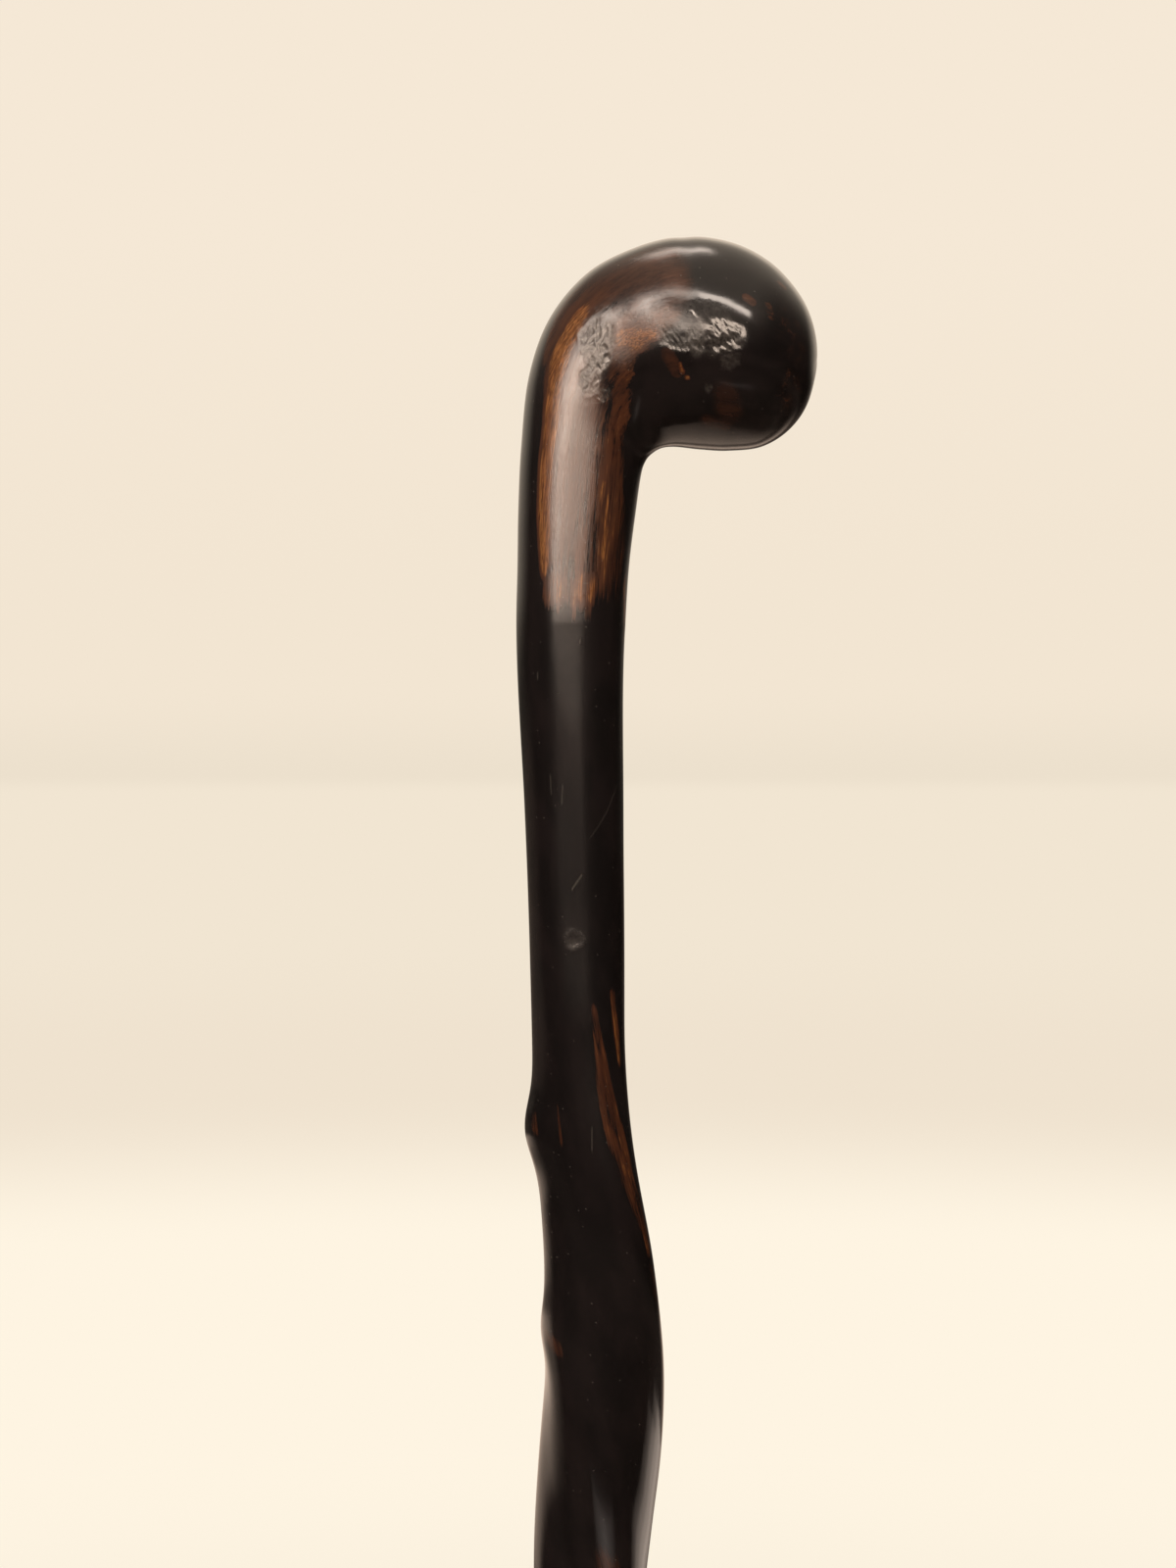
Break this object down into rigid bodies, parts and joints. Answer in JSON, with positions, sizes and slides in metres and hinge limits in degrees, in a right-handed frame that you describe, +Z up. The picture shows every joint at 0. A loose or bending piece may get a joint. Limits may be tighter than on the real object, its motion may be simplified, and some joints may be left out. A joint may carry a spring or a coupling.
{
  "type": "spiral walking cane",
  "caption": "Walking cane of dark wood: a root knob bends over a plain grip, the shaft winds down in a left-handed vine twist, and a brass ferrule with a steel wear plate is its foot.",
  "frame": {"origin": "centre of the foot's flat wear face", "axes": "+Z up along the cane, +X toward the side that the knob points to, +Y away from the viewer"},
  "size_m": [0.0751, 0.0502, 0.8999],
  "materials": {
    "stained_wood": "black-brown stain under glossy varnish, rubbed through to brown wood at the grip and along the ridge",
    "ferrule_brass": "drawn tube, dulled by handling",
    "wear_steel": "turned, scuffed on the foot's face"
  },
  "bodies": {
    "root": {"stick": "stained_wood", "ferrule_sleeve": "ferrule_brass", "ferrule_plug": "wear_steel", "ferrule_nail_left": "ferrule_brass", "ferrule_nail_right": "ferrule_brass"}
  },
  "joints": []
}
